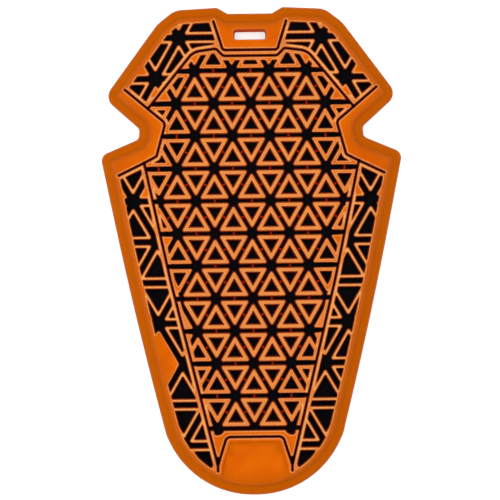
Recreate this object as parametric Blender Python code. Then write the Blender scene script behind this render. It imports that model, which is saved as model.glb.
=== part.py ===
"""Knee protector insert: a shallow moulded shell of orange foam on a black backing sheet.

The foam is a rim frame with a hanging tab, a plain lower plate and two pairs of open side
fields, and a centre panel of open triangular rings joined by low bridges. A groove runs all
round the panel. The plan is drawn flat and every point is then dropped onto the crown.
Plan axes: +X to the right and +Y towards the tab. +Z is the front, and the shell stands on
its rim with the hollow side down.
"""

import math
from collections import defaultdict
from enum import IntEnum
from typing import NamedTuple

import bmesh
import bpy
import numpy as np
from mathutils import Vector
from mathutils.geometry import delaunay_2d_cdt

# Overall size, in metres
HALF_LENGTH = 0.1375
HALF_WIDTH = 0.0845

# Crown of the shell: flat along the middle, bent across and along, straight beyond the arcs
CROWN_FLAT = 0.021
CROWN_RADIUS_ACROSS = 0.130
CROWN_CENTRE = 0.015
TAB_ARC_LENGTH = 0.096
TAIL_ARC_LENGTH = 0.117

# Thicknesses, measured along Z
FOAM_THICKNESS = 0.0090
EDGE_THICKNESS = 0.0040
BAND_THICKNESS = 0.0048
SHEET_THICKNESS = 0.0012
CLEARANCE = 0.0003

# Rim: a low outer band, then a step up to the ridge, and a lip round the sheet below
BAND_WIDTH = 0.0045
RIDGE_START = 0.0062
RIM_WIDTH = 0.0082
LIP_WIDTH = 0.0055

# Grooves and the thin ribs beside them
GROOVE_WIDTH = 0.0017
RIB_WIDTH = 0.0015

# Hanging slot in the tab
SLOT_LENGTH = 0.0184
SLOT_HEIGHT = 0.0058
SLOT_CORNER = 0.0014
SLOT_INSET = 0.0154
SLOT_CENTRE = HALF_LENGTH - SLOT_INSET
SLOT_MARGIN = 0.0010

# Meshing
CHORD_ERROR = 0.0002
LONGEST_EDGE = 0.020
GRID_ACROSS = 0.011
GRID_ALONG = 0.030
SMALLEST_GAP_AREA = 7.0e-6
MERGE_DISTANCE = 2.0e-5
SHARP_ANGLE = math.radians(25)


class Label(IntEnum):
    """What a triangle of the plan is: an opening, a low bridge between rings, or full foam."""

    GAP = 0
    BRIDGE = 1
    FOAM = 2


GAP, BRIDGE, FOAM = Label


class Corner(NamedTuple):
    """A corner of a half outline: across and radius as shares of HALF_WIDTH, along of HALF_LENGTH."""

    across: float
    along: float
    radius: float


class Lattice(NamedTuple):
    """A triangular lattice of rings with channels between them, in metres."""

    pitch: float
    first_row: float
    channel: float
    wall: float


PANEL_LATTICE = Lattice(pitch=0.0210, first_row=0.1018, channel=0.0022, wall=0.0025)
SIDE_LATTICE = Lattice(pitch=0.0267, first_row=0.1213, channel=0.0028, wall=0.0015)

# Low bridges between the panel's rings: across their channel's middle, from the underside up
BRIDGE_WIDTH = 0.0017
BRIDGE_HEIGHT = 0.0040

# Row and column of the side lattice about which two cells are filled solid, on the left only
SOLID_ROW = 8
SOLID_COLUMN = -2

# Right half of the outer edge, from the tab down to the tail
OUTLINE = (
    Corner(0.147, 0.9745, 0.020),
    Corner(0.218, 1.0000, 0.030),
    Corner(0.469, 0.9890, 0.080),
    Corner(0.595, 0.9450, 0.105),
    Corner(0.969, 0.6420, 0.065),
    Corner(0.744, 0.5160, 0.035),
    Corner(0.749, 0.4730, 0.035),
    Corner(1.012, 0.4040, 0.083),
    Corner(0.911, 0.0580, 1.800),
    Corner(0.596, -0.7490, 0.095),
    Corner(0.414, -1.0000, 0.620),
)
SHOULDER = 7

# Right half of the groove round the centre panel, from its top to the lower plate
PANEL_GROOVE = (
    Corner(0.187, 0.8030, 0.035),
    Corner(0.236, 0.8465, 0.018),
    Corner(0.349, 0.8407, 0.071),
    Corner(0.685, 0.5876, 0.006),
    Corner(0.570, 0.5280, 0.036),
    Corner(0.631, 0.3927, 0.018),
    Corner(0.714, 0.3665, 0.006),
    Corner(0.549, -0.1120, 1.200),
    Corner(0.248, -0.8756, 0.004),
    Corner(0.188, -0.7585, 0.036),
)
NOTCH_ARM_START, SIDE_START, VALLEY_TIP, PLATE_CORNER = 3, 6, 8, 9

# Outer ends of the two arms of the notch groove
UPPER_ARM_END = Corner(0.838, 0.6676, 0.0)
LOWER_ARM_END = Corner(0.885, 0.3164, 0.0)

# Groove under the tab: its lower corner and its upper end
TAB_GROOVE_CORNER = Corner(0.170, 0.8284, 0.030)
TAB_GROOVE_END = Corner(0.245, 0.9476, 0.0)


class Finish(NamedTuple):
    """A plain material: linear colour, roughness and metallic value."""

    colour: tuple
    roughness: float
    metallic: float


ORANGE_FOAM = Finish((0.78, 0.16, 0.012), 0.62, 0.0)
BLACK_SHEET = Finish((0.006, 0.006, 0.008), 0.75, 0.0)


def place(corner, side=1.0):
    """Plan point and radius of a table corner, on the right or the left side."""
    x = side * corner.across * HALF_WIDTH
    return x, corner.along * HALF_LENGTH, corner.radius * HALF_WIDTH


def both_halves(table):
    """Counter-clockwise closed loop from the table of a right half."""
    left = [place(corner, -1.0) for corner in table]
    right = [place(corner) for corner in reversed(table)]
    return left + right


def shifted(corners, inward):
    """Closed corner list moved inward by a distance, with the radii that keep the arcs concentric."""
    moved = []
    for i, (x, y, radius) in enumerate(corners):
        before = Vector((x, y)) - Vector(corners[i - 1][:2])
        after = Vector(corners[(i + 1) % len(corners)][:2]) - Vector((x, y))
        before.normalize()
        after.normalize()
        first = Vector((-before.y, before.x))
        second = Vector((-after.y, after.x))
        reach = inward / (1.0 + first.dot(second))
        turn = before.x * after.y - before.y * after.x
        radius = max(radius - math.copysign(inward, turn), CLEARANCE)
        moved.append((x + (first.x + second.x) * reach, y + (first.y + second.y) * reach, radius))
    return moved


def rounded(corners):
    """Closed path through a corner list, with an arc at each corner."""
    path = []
    for i, (x, y, radius) in enumerate(corners):
        here = Vector((x, y))
        back = Vector(corners[i - 1][:2]) - here
        ahead = Vector(corners[(i + 1) % len(corners)][:2]) - here
        turn = math.pi - back.angle(ahead)
        room = 0.5 * min(back.length, ahead.length)
        cut = min(radius * math.tan(turn / 2.0), room)
        if cut < MERGE_DISTANCE:
            path.append((x, y))
            continue
        start = here + back.normalized() * cut
        end = here + ahead.normalized() * cut
        bow = cut / math.tan(turn / 2.0)
        widest_step = 2.0 * math.acos(1.0 - min(CHORD_ERROR / bow, 1.0))
        steps = math.ceil(turn / widest_step)
        centre = here + (back.normalized() + ahead.normalized()).normalized() * math.hypot(cut, bow)
        first = math.atan2(start.y - centre.y, start.x - centre.x)
        sweep = math.atan2(end.y - centre.y, end.x - centre.x) - first
        sweep = (sweep + math.pi) % (2.0 * math.pi) - math.pi
        for k in range(steps + 1):
            angle = first + sweep * k / steps
            path.append((centre.x + bow * math.cos(angle), centre.y + bow * math.sin(angle)))
    return path


def divided(path):
    """Closed path with each edge over LONGEST_EDGE cut into equal lengths."""
    points = []
    for a, b in zip(path, path[1:] + path[:1]):
        start, span = Vector(a), Vector(b) - Vector(a)
        pieces = max(math.ceil(span.length / LONGEST_EDGE), 1)
        points += [tuple(start + span * k / pieces) for k in range(pieces)]
    return points


def edge_loop(inward=0.0):
    """The outer edge moved inward, as a closed path."""
    return divided(rounded(shifted(both_halves(OUTLINE), inward)))


def panel_loop(inward=0.0):
    """The middle of the panel's groove moved inward, as a closed path."""
    return rounded(shifted(both_halves(PANEL_GROOVE), inward))


def arm(start, end, half_width, side):
    """Closed four-corner path of a straight groove arm, or of the rib round it."""
    a, b = Vector(place(start, side)[:2]), Vector(place(end, side)[:2])
    along = (b - a).normalized() * half_width
    across = Vector((-along.y, along.x))
    overrun = Vector((0.0, 0.0)) if half_width < GROOVE_WIDTH else along
    return [tuple(point) for point in (a - across, b - across + overrun, b + across + overrun, a + across)]


def tab_groove(half_width):
    """Closed path of the groove round the tab, or of the rib round it."""
    middle = []
    for side in (-1.0, 1.0):
        ends = [place(TAB_GROOVE_END, side), place(TAB_GROOVE_CORNER, side)]
        middle += ends if side < 0 else ends[::-1]
    middle = [Vector(point[:2]) for point in middle]
    radius = place(TAB_GROOVE_CORNER)[2]
    sides = ([], [])
    for i, point in enumerate(middle):
        before = (point - middle[i - 1]).normalized() if i else (middle[1] - point).normalized()
        after = (middle[i + 1] - point).normalized() if i + 1 < len(middle) else before
        normals = Vector((-before.y, before.x)), Vector((-after.y, after.x))
        reach = (normals[0] + normals[1]) * half_width / (1.0 + normals[0].dot(normals[1]))
        inner = i in (1, 2)
        sides[0].append((*(point + reach), max(radius - half_width, 0.0) if inner else 0.0))
        sides[1].append((*(point - reach), radius + half_width if inner else 0.0))
    return rounded(sides[1] + sides[0][::-1])


def slot_loop(margin=0.0):
    """Closed path of the hanging slot, grown by a margin."""
    x, y = SLOT_LENGTH / 2.0 + margin, SLOT_HEIGHT / 2.0 + margin
    corners = ((-x, -y), (x, -y), (x, y), (-x, y))
    return rounded([(a, b + SLOT_CENTRE, SLOT_CORNER + margin) for a, b in corners])


def plain_zones():
    """Closed paths of the areas that stay unpierced: the tab, the plate and the two notch pads."""
    beyond = 2.0 * HALF_LENGTH
    tab = [place(TAB_GROOVE_CORNER)[:2], place(TAB_GROOVE_END)[:2], (place(TAB_GROOVE_END)[0], beyond)]
    plate = [place(PANEL_GROOVE[PLATE_CORNER])[:2], place(PANEL_GROOVE[VALLEY_TIP])[:2]]
    plate.append((place(PANEL_GROOVE[VALLEY_TIP])[0], -beyond))
    zones = [half + [(-x, y) for x, y in reversed(half)] for half in (tab, plate)]
    inner = PANEL_GROOVE[NOTCH_ARM_START : SIDE_START + 1]
    for side in (-1.0, 1.0):
        path = [place(corner, side)[:2] for corner in (UPPER_ARM_END, *inner, LOWER_ARM_END)]
        zones.append(path + [(side * beyond, path[-1][1]), (side * beyond, path[0][1])])
    return zones


def triangle(centre, inradius, up):
    """Closed path of an equilateral triangle about a centre."""
    reach = 2.0 * inradius
    turns = [math.radians(90.0 + 120.0 * k + (0.0 if up else 180.0)) for k in range(3)]
    return [(centre[0] + reach * math.cos(t), centre[1] + reach * math.sin(t)) for t in turns]


def row_rise(lattice):
    """Distance between two rows of a lattice."""
    return lattice.pitch * math.sqrt(3.0) / 2.0


def cells(lattice):
    """Every cell of a lattice over the whole plan, as (centre, points up) pairs.

    Rows are counted down from the first one. Its cells meet half a pitch off the middle, and
    those of the next row on it.
    """
    rise = row_rise(lattice)
    rows = math.ceil((lattice.first_row + HALF_LENGTH) / rise)
    columns = math.ceil(HALF_WIDTH / lattice.pitch) + 1
    for row in range(-2, rows + 1):
        offset = 0.5 if row % 2 == 0 else 0.0
        for column in range(-columns, columns + 1):
            x = (column + offset) * lattice.pitch
            y = lattice.first_row - row * rise
            yield (x + lattice.pitch / 2.0, y - rise / 3.0), False
            yield (x, y - rise * 2.0 / 3.0), True


def bridges(lattice):
    """Closed paths of the low bridges from the upward cells, on their lower and outer sides."""
    rise = row_rise(lattice)
    reach = lattice.channel / 2.0 + lattice.wall / 4.0
    for centre, up in cells(lattice):
        for turn in (-90.0, 30.0, 150.0) if up else ():
            out = Vector((math.cos(math.radians(turn)), math.sin(math.radians(turn))))
            middle = Vector(centre) + out * rise / 3.0
            if middle.x * out.x < -MERGE_DISTANCE * lattice.pitch:
                continue
            along, across = out * reach, Vector((-out.y, out.x)) * BRIDGE_WIDTH / 2.0
            corners = (across - along, -across - along, along - across, along + across)
            yield [tuple(middle + corner) for corner in corners]


def solid_patch():
    """Closed path round the two cells of the side lattice that are filled, above and below a row."""
    x = SOLID_COLUMN * SIDE_LATTICE.pitch
    y = SIDE_LATTICE.first_row - SOLID_ROW * row_rise(SIDE_LATTICE)
    across = SIDE_LATTICE.pitch / 2.0 - SIDE_LATTICE.channel / math.sqrt(3.0)
    along = row_rise(SIDE_LATTICE) - SIDE_LATTICE.channel
    return [(x - across, y), (x, y - along), (x + across, y), (x, y + along)]


def inside(points, path):
    """Which of the points lie inside a closed path."""
    result = np.zeros(len(points), bool)
    x, y = points[:, 0], points[:, 1]
    for (ax, ay), (bx, by) in zip(path, path[1:] + path[:1]):
        if ay == by:
            continue
        crosses = (ay > y) != (by > y)
        result ^= crosses & (x < (bx - ax) * (y - ay) / (by - ay) + ax)
    return result


def any_inside(points, paths):
    """Which of the points lie inside at least one of the paths."""
    result = np.zeros(len(points), bool)
    for path in paths:
        low = np.min(path, axis=0)
        high = np.max(path, axis=0)
        near = np.flatnonzero(((points >= low) & (points <= high)).all(axis=1))
        if len(near):
            result[near] |= inside(points[near], path)
    return result


def overlaps(path, box):
    """Whether a path's own box meets another box."""
    low, high = np.min(path, axis=0), np.max(path, axis=0)
    return bool((low <= box[1]).all() and (high >= box[0]).all())


class Field:
    """A field of lattice rings: where its rings and their holes lie."""

    def __init__(self, lattice, box):
        outer = row_rise(lattice) / 3.0 - lattice.channel / 2.0
        self.rings, self.holes = [], []
        for centre, up in cells(lattice):
            ring = triangle(centre, outer, up)
            if overlaps(ring, box):
                self.rings.append(ring)
                self.holes.append(triangle(centre, outer - lattice.wall, up))

    def labels(self, points):
        """The label at each point, as if the field had no border."""
        label = np.full(len(points), GAP)
        label[any_inside(points, self.rings)] = FOAM
        label[any_inside(points, self.holes)] = GAP
        return label


class Plan:
    """A triangulated plan: points, triangles and a label for each triangle."""

    def __init__(self, paths, loose=(), edges=((), ())):
        points, lines = [], []
        for path in paths:
            first = len(points)
            points += [Vector(point) for point in path]
            lines += [(first + i, first + (i + 1) % len(path)) for i in range(len(path))]
        first, first_edge = len(points), len(lines)
        points += [Vector(point) for point in edges[0]]
        lines += [(first + a, first + b) for a, b in edges[1]]
        points += [Vector(point) for point in loose]
        result = delaunay_2d_cdt(points, lines, [], 0, MERGE_DISTANCE)
        self.points = np.array([tuple(point) for point in result[0]])
        self.faces = np.array([tuple(face) for face in result[2]])
        self.centres = self.points[self.faces].mean(axis=1)
        self.labels = np.full(len(self.faces), GAP)
        sources = zip(result[1], result[4])
        self.fences = {tuple(sorted(edge)) for edge, lines in sources if any(i >= first_edge for i in lines)}

    def areas(self):
        """Area of each triangle."""
        a, b, c = (self.points[self.faces[:, k]] for k in range(3))
        return 0.5 * np.abs(np.cross(b - a, c - a))

    def sides(self):
        """Each edge with the triangles beside it."""
        beside = defaultdict(list)
        for index, face in enumerate(self.faces):
            for k in range(3):
                beside[tuple(sorted((int(face[k]), int(face[(k + 1) % 3]))))].append(index)
        return beside

    def regions(self, chosen):
        """Lists of the chosen triangles that are joined along edges that aren't borders."""
        neighbours = defaultdict(list)
        for edge, faces in self.sides().items():
            if len(faces) == 2 and chosen[faces].all() and edge not in self.fences:
                neighbours[faces[0]].append(faces[1])
                neighbours[faces[1]].append(faces[0])
        seen, found = set(), []
        for start in np.flatnonzero(chosen):
            region, queue = [], [int(start)]
            while queue:
                face = queue.pop()
                if face not in seen:
                    seen.add(face)
                    region.append(face)
                    queue += neighbours[face]
            if region:
                found.append(region)
        return found

    def fill_small_gaps(self, hull):
        """Gaps inside the hull smaller than SMALLEST_GAP_AREA are filled, low beside a bridge."""
        areas = self.areas()
        at_bridge = set(self.faces[self.labels == BRIDGE].ravel())
        for region in self.regions((self.labels == GAP) & inside(self.centres, hull)):
            if areas[region].sum() < SMALLEST_GAP_AREA:
                self.labels[region] = BRIDGE if at_bridge & set(self.faces[region].ravel()) else FOAM

    def drop_islands(self):
        """Solid regions that aren't joined to the largest one become gaps."""
        areas = self.areas()
        solids = self.regions(self.labels != GAP)
        solids.sort(key=lambda region: areas[region].sum())
        for region in solids[:-1]:
            self.labels[region] = GAP

    def close_pinches(self):
        """Where solids meet at a bare corner, the smallest gap between them there becomes foam."""
        areas = self.areas()
        pinched = True
        while pinched:
            pinched = False
            around = defaultdict(list)
            for index, face in enumerate(self.faces):
                for point in face:
                    around[int(point)].append(index)
            for point, faces in around.items():
                gaps = self.fans(point, [face for face in faces if self.labels[face] == GAP])
                solids = self.fans(point, [face for face in faces if self.labels[face] != GAP])
                if len(gaps) > 1 and len(solids) > 1:
                    smallest = min(gaps, key=lambda fan: areas[fan].sum())
                    self.labels[smallest] = FOAM
                    pinched = True

    def fans(self, point, faces):
        """Groups of the faces round a point that share an edge at it."""
        groups = []
        for face in faces:
            others = {int(other) for other in self.faces[face]} - {point}
            joined = [group for group in groups if group[1] & others]
            merged = ([face], set(others))
            for group in joined:
                merged = (merged[0] + group[0], merged[1] | group[1])
                groups.remove(group)
            groups.append(merged)
        return [group[0] for group in groups]

    def labels_at(self, points):
        """Labels of the triangles in which the given points lie."""
        labels = np.full(len(points), GAP)
        corners = self.points[self.faces]
        low, high = corners.min(axis=1), corners.max(axis=1)
        for i, point in enumerate(points):
            near = np.flatnonzero(((low <= point) & (high >= point)).all(axis=1))
            a, b, c = (corners[near, k] for k in range(3))
            turns = [np.cross(q - p, point - p) for p, q in ((a, b), (b, c), (c, a))]
            hit = near[(np.min(turns, axis=0) >= 0) | (np.max(turns, axis=0) <= 0)]
            if len(hit):
                labels[i] = self.labels[hit[0]]
        return labels

    def take_labels(self, draft):
        """Each region between borders takes the label that most of its area has in the draft."""
        areas, votes = self.areas(), draft.labels_at(self.centres)
        for region in self.regions(np.full(len(self.faces), True)):
            self.labels[region] = np.bincount(votes[region], areas[region]).argmax()

    def borders(self):
        """Points and edges between triangles of different labels, with straight runs made one."""
        linked = defaultdict(set)
        kinds = {}
        for (a, b), faces in self.sides().items():
            labels = sorted(int(self.labels[face]) for face in faces)
            labels = tuple(labels) if len(labels) == 2 else (GAP, labels[0])
            if labels[0] != labels[1]:
                linked[a].add(b)
                linked[b].add(a)
                kinds[frozenset((a, b))] = labels
        for point in list(linked):
            if len(linked[point]) != 2:
                continue
            a, b = linked[point]
            same = kinds[frozenset((a, point))] == kinds[frozenset((b, point))]
            before, after = self.points[point] - self.points[a], self.points[b] - self.points[point]
            bend = abs(before[0] * after[1] - before[1] * after[0])
            if same and b not in linked[a] and bend < MERGE_DISTANCE * np.hypot(*(before + after)):
                kinds[frozenset((a, b))] = kinds.pop(frozenset((a, point)))
                kinds.pop(frozenset((b, point)))
                linked[a] = (linked[a] - {point}) | {b}
                linked[b] = (linked[b] - {point}) | {a}
                del linked[point]
        return self.split_edges(linked)

    def split_edges(self, linked):
        """The linked points and edges, with edges over LONGEST_EDGE cut into equal lengths."""
        order = {point: i for i, point in enumerate(linked)}
        points = [tuple(self.points[point]) for point in linked]
        edges = []
        for a, others in linked.items():
            for b in others:
                if a > b:
                    continue
                pieces = math.ceil(np.hypot(*(self.points[b] - self.points[a])) / LONGEST_EDGE)
                chain = [order[a]]
                for k in range(1, pieces):
                    points.append(tuple(self.points[a] + (self.points[b] - self.points[a]) * k / pieces))
                    chain.append(len(points) - 1)
                chain.append(order[b])
                edges += list(zip(chain, chain[1:]))
        return points, edges


def drop_across(x):
    """Drop of the arc across, away from the flat middle."""
    return max(abs(x) - CROWN_FLAT, 0.0) ** 2 / (2.0 * CROWN_RADIUS_ACROSS)


def bend_along(y):
    """Drop of the arc along, times its radius: it goes on straight past its end."""
    arc = TAB_ARC_LENGTH if y > CROWN_CENTRE else TAIL_ARC_LENGTH
    distance = abs(y - CROWN_CENTRE)
    return min(distance, arc) ** 2 / 2.0 + arc * max(distance - arc, 0.0)


# Radius along: it brings the end of the tail down as low as the shoulders, on one floor
SHOULDER_DROP = drop_across(HALF_WIDTH)
TAIL_BEND = bend_along(-HALF_LENGTH) - bend_along(place(OUTLINE[SHOULDER])[1])
CROWN_RADIUS_ALONG = TAIL_BEND / SHOULDER_DROP


def crown_drop(x, y):
    """How far the shell has dropped from its crown at a plan point."""
    return drop_across(x) + bend_along(y) / CROWN_RADIUS_ALONG


EDGE = edge_loop()
EDGE_POINTS = np.array(EDGE)
LIFT = max(crown_drop(x, y) for x, y in EDGE)
SEAT = SHEET_THICKNESS + 2.0 * CLEARANCE


def depth_in_rim(x, y):
    """Distance of a plan point from the outer edge."""
    spans = np.roll(EDGE_POINTS, -1, axis=0) - EDGE_POINTS
    share = ((np.array((x, y)) - EDGE_POINTS) * spans).sum(axis=1) / (spans**2).sum(axis=1)
    nearest = EDGE_POINTS + spans * np.clip(share, 0.0, 1.0)[:, None]
    return float(np.hypot(*(nearest - (x, y)).T).min())


def foam_top(x, y):
    """Height of the foam's front, with the low band along the rim."""
    depths = (0.0, BAND_WIDTH, RIDGE_START)
    heights = (EDGE_THICKNESS, BAND_THICKNESS, FOAM_THICKNESS)
    return LIFT - crown_drop(x, y) + float(np.interp(depth_in_rim(x, y), depths, heights))


def lip_bottom(x, y):
    """Height of the underside of the rim's lip."""
    return LIFT - crown_drop(x, y)


def foam_bottom(x, y):
    """Height of the foam's underside, where the sheet lies under it."""
    return LIFT - crown_drop(x, y) + SEAT


def bridge_top(x, y):
    """Height of the low bridges between the panel's rings."""
    return foam_bottom(x, y) + BRIDGE_HEIGHT


def sheet_bottom(x, y):
    """Height of the sheet's underside."""
    return LIFT - crown_drop(x, y) + CLEARANCE


def sheet_top(x, y):
    """Height of the sheet's front."""
    return sheet_bottom(x, y) + SHEET_THICKNESS


def level(x, y, height):
    """The shift of a point that isn't beside the slot."""
    return 0.0


def slot_lean(x, y, height):
    """Shift of the slot's wall: square to the sloping tab, it leans towards the tail below."""
    if not inside(np.array([(x, y)]), slot_loop(SLOT_MARGIN + CLEARANCE))[0]:
        return 0.0
    return -(foam_top(x, y) - height) * TAB_ARC_LENGTH / CROWN_RADIUS_ALONG


class Solid:
    """A closed solid over a plan, each triangle between its own lower and upper surface."""

    def __init__(self, name, plan, surfaces, lean=level):
        self.name = name
        self.plan = plan
        self.surfaces = surfaces
        self.lean = lean
        self.mesh = bmesh.new()
        self.levels = defaultdict(dict)
        self.vertices = {}

    def height(self, point, surface):
        """Height of a surface at a plan point."""
        known = self.levels[point]
        if surface not in known:
            known[surface] = surface(*self.plan.points[point])
        return known[surface]

    def vertex(self, point, height):
        """The mesh vertex at a height over a plan point."""
        key = (point, round(height, 7))
        if key not in self.vertices:
            x, y = self.plan.points[point]
            self.vertices[key] = self.mesh.verts.new((x, y + self.lean(x, y, height), height))
        return self.vertices[key]

    def wall(self, a, b, low, high):
        """A wall over the edge a to b between two surfaces, through every level at its ends."""
        ring = []
        for point, upward in ((a, False), (b, True)):
            bottom, top = self.height(point, low), self.height(point, high)
            between = [h for h in set(self.levels[point].values()) if bottom <= h <= top]
            for height in sorted(between, reverse=not upward):
                vertex = self.vertex(point, height)
                if vertex not in ring:
                    ring.append(vertex)
        if len(ring) > 2:
            self.mesh.faces.new(ring)

    def build(self):
        """Closed mesh of the solid."""
        directed = {}
        for index, pair in enumerate(self.surfaces):
            if pair is None:
                continue
            face = [int(point) for point in self.plan.faces[index]]
            for k in range(3):
                directed[(face[k], face[(k + 1) % 3])] = pair
            low, high = pair
            self.mesh.faces.new([self.vertex(point, self.height(point, high)) for point in face])
            self.mesh.faces.new([self.vertex(point, self.height(point, low)) for point in reversed(face)])
        for (a, b), (low, high) in directed.items():
            if (b, a) not in directed:
                self.wall(b, a, low, high)
                continue
            other_low, other_high = directed[(b, a)]
            if self.height(a, other_high) < self.height(a, high):
                self.wall(b, a, other_high, high)
            if self.height(a, other_low) > self.height(a, low):
                self.wall(b, a, low, other_low)
        bmesh.ops.recalc_face_normals(self.mesh, faces=self.mesh.faces)
        data = bpy.data.meshes.new(self.name)
        self.mesh.to_mesh(data)
        self.mesh.free()
        data.shade_smooth()
        data.set_sharp_from_angle(angle=SHARP_ANGLE)
        return data


def finish_material(name, finish):
    """A Principled BSDF material from a finish."""
    material = bpy.data.materials.new(name)
    material.use_nodes = True
    shader = material.node_tree.nodes["Principled BSDF"]
    shader.inputs["Base Color"].default_value = (*finish.colour, 1.0)
    shader.inputs["Roughness"].default_value = finish.roughness
    shader.inputs["Metallic"].default_value = finish.metallic
    return material


def add_object(data, material, parent):
    """Object of a mesh with its material, under the part's empty."""
    data.materials.append(material)
    item = bpy.data.objects.new(data.name, data)
    item.parent = parent
    bpy.context.collection.objects.link(item)


def final_plan(paths, labels_at, hull, loose=(), extra=()):
    """Plan in one piece with its labels, from a draft that is mended and freed of needless points."""
    draft = Plan(paths)
    draft.labels = labels_at(draft.centres)
    draft.fill_small_gaps(hull)
    draft.close_pinches()
    draft.drop_islands()
    far = 2.0 * HALF_LENGTH
    paper = [(-far, -far), (far, -far), (far, far), (-far, far)]
    plan = Plan([paper, *extra], loose, draft.borders())
    plan.take_labels(draft)
    return plan


def frame_plan():
    """Plan of the rim frame with its side fields, grooves and slot."""
    field = Field(SIDE_LATTICE, (np.min(EDGE, axis=0), np.max(EDGE, axis=0)))
    half = GROOVE_WIDTH / 2.0
    beside = half + RIB_WIDTH
    arms = ((PANEL_GROOVE[NOTCH_ARM_START], UPPER_ARM_END), (PANEL_GROOVE[SIDE_START], LOWER_ARM_END))
    grooves = [arm(*ends, half, side) for ends in arms for side in (-1.0, 1.0)]
    ribs = [arm(*ends, beside, side) for ends in arms for side in (-1.0, 1.0)]
    grooves += [panel_loop(-half), tab_groove(half)]
    ribs += [panel_loop(-beside), tab_groove(beside)]
    inner, slot, patch, zones = edge_loop(RIM_WIDTH), slot_loop(), solid_patch(), plain_zones()

    def labels_at(points):
        label = np.where(inside(points, EDGE), FOAM, GAP)
        open_field = inside(points, inner) & ~any_inside(points, [*ribs, *zones, patch])
        label[open_field] = field.labels(points[open_field])
        label[any_inside(points, [*grooves, slot])] = GAP
        return label

    paths = [EDGE, inner, slot, patch, *grooves, *ribs, *zones, *field.rings, *field.holes]
    extra = [edge_loop(BAND_WIDTH), edge_loop(RIDGE_START), edge_loop(LIP_WIDTH)]
    return final_plan(paths, labels_at, EDGE, extra=extra)


def build_frame():
    """The orange rim frame with its tab, lower plate and side fields."""
    plan = frame_plan()
    over_sheet = inside(plan.centres, edge_loop(LIP_WIDTH))
    surfaces = [
        ((foam_bottom if above else lip_bottom), foam_top) if label == FOAM else None
        for label, above in zip(plan.labels, over_sheet)
    ]
    return Solid("rim_frame", plan, surfaces, slot_lean).build()


def row_channels(lattice, lowest):
    """Closed paths of the channels between the rows of a lattice, down to the lowest."""
    channels = []
    half = lattice.channel / 2.0
    y = lattice.first_row
    while y > lowest:
        ends = ((-HALF_WIDTH, y - half), (HALF_WIDTH, y - half))
        channels.append([*ends, *((x, y + half) for x, _ in reversed(ends))])
        y -= row_rise(lattice)
    return channels


def build_panel():
    """The orange centre panel of triangular rings, whose row channels run out into its groove."""
    half = GROOVE_WIDTH / 2.0
    border, inner = panel_loop(half), panel_loop(half + RIB_WIDTH)
    low, high = np.min(border, axis=0), np.max(border, axis=0)
    field = Field(PANEL_LATTICE, (low, high))
    joins = [path for path in bridges(PANEL_LATTICE) if overlaps(path, (low, high))]
    channels = row_channels(PANEL_LATTICE, low[1])

    def labels_at(points):
        label = np.where(inside(points, border), FOAM, GAP)
        label[(label == FOAM) & any_inside(points, channels)] = BRIDGE
        open_field = inside(points, inner)
        label[open_field] = field.labels(points[open_field])
        label[open_field & (label == GAP) & any_inside(points, joins)] = BRIDGE
        return label

    plan = final_plan([border, inner, *channels, *joins, *field.rings, *field.holes], labels_at, border)
    pairs = {GAP: None, BRIDGE: (foam_bottom, bridge_top), FOAM: (foam_bottom, foam_top)}
    return Solid("centre_panel", plan, [pairs[label] for label in plan.labels]).build()


def build_sheet():
    """The black backing sheet, which lies in the rim's lip."""
    edge, hole = edge_loop(LIP_WIDTH + CLEARANCE), slot_loop(SLOT_MARGIN)
    columns, rows = math.floor(HALF_WIDTH / GRID_ACROSS), math.floor(HALF_LENGTH / GRID_ALONG)
    grid = [
        (column * GRID_ACROSS, row * GRID_ALONG)
        for column in range(-columns, columns + 1)
        for row in range(-rows, rows + 1)
    ]
    grid = np.array(grid)
    clear_of_edge = inside(grid, edge_loop(LIP_WIDTH + CLEARANCE + GRID_ACROSS / 2.0))
    clear_of_hole = ~inside(grid, slot_loop(GRID_ACROSS / 2.0))

    def labels_at(points):
        return np.where(inside(points, edge) & ~inside(points, hole), FOAM, GAP)

    plan = final_plan([edge, hole], labels_at, EDGE, loose=grid[clear_of_edge & clear_of_hole])
    pairs = {GAP: None, FOAM: (sheet_bottom, sheet_top)}
    return Solid("backing_sheet", plan, [pairs[label] for label in plan.labels], slot_lean).build()


def main():
    """Clears the scene and builds the three pieces."""
    for item in list(bpy.data.objects):
        bpy.data.objects.remove(item)
    root = bpy.data.objects.new("knee_protector_insert", None)
    bpy.context.collection.objects.link(root)
    foam = finish_material("orange_foam", ORANGE_FOAM)
    black = finish_material("black_sheet", BLACK_SHEET)
    add_object(build_frame(), foam, root)
    add_object(build_panel(), foam, root)
    add_object(build_sheet(), black, root)


main()
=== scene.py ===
"""Knee protector insert, dressed: moulded orange foam on a black backing cloth.

The foam is one moulding in the real insert. Here its plan is a signed distance field, negative
in foam. The rim, the tab, the plate and the clipped rings are meshed from the field's contours,
and the whole rings and the low bridges between them are made by Geometry Nodes.
All lengths are metres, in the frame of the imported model.
"""

import logging
import math
from collections import defaultdict
from dataclasses import dataclass, field
from enum import Enum, IntEnum
from typing import NamedTuple

import bpy
import numpy as np
from bpy.types import ID, Material, Node, NodeSocket, NodeTree, Object
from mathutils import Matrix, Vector
from mathutils.geometry import delaunay_2d_cdt
from numpy import ndarray as Array


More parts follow.
